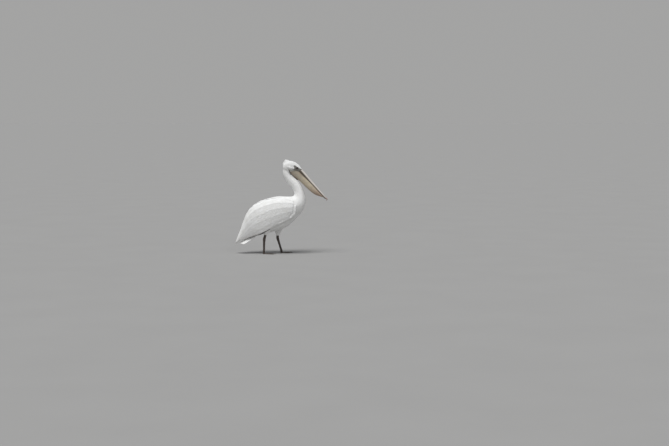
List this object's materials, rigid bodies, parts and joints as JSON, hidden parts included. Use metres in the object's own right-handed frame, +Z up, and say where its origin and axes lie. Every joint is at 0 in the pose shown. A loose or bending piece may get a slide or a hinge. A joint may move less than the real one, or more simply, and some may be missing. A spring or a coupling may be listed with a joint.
{
  "type": "white pelican",
  "caption": "Life-size white pelican standing in mid-step, neck in an S, long pouched bill lowered, wings folded, webbed feet flat on the ground.",
  "frame": {"origin": "middle of the bounding box in X and Y, on the ground under the soles", "axes": "+X the way the bird faces, +Y its left side, +Z up"},
  "size_m": [0.9694, 0.2798, 0.9883],
  "materials": {
    "plumage": "soft white feathers",
    "flight_feathers": "stiff brown-black feathers",
    "horn": "dull grey-pink horn",
    "nail_horn": "smooth reddish horn",
    "pouch_skin": "bare yellowish-buff skin",
    "leg_skin": "scaly dark grey-brown skin",
    "claw_horn": "dark horn",
    "eye": "wet and dark"
  },
  "bodies": {
    "root": {"bill_nail": "nail_horn", "claw_hind_left": "claw_horn", "claw_hind_right": "claw_horn", "claw_inner_left": "claw_horn", "claw_inner_right": "claw_horn", "claw_middle_left": "claw_horn", "claw_middle_right": "claw_horn", "claw_outer_left": "claw_horn", "claw_outer_right": "claw_horn", "crest": "plumage", "eye_left": "eye", "eye_right": "eye", "foot_left": "leg_skin", "foot_right": "leg_skin", "head": "plumage", "lower_leg_left": "leg_skin", "lower_leg_right": "leg_skin", "lower_mandible": "horn", "neck_lower": "plumage", "neck_middle": "plumage", "neck_upper": "plumage", "pouch": "pouch_skin", "primaries_left": "flight_feathers", "primaries_right": "flight_feathers", "tail": "plumage", "tertials_left": "plumage", "tertials_right": "plumage", "thigh_left": "plumage", "thigh_right": "plumage", "trunk": "plumage", "upper_mandible": "horn", "wing_left": "plumage", "wing_right": "plumage"}
  },
  "joints": []
}
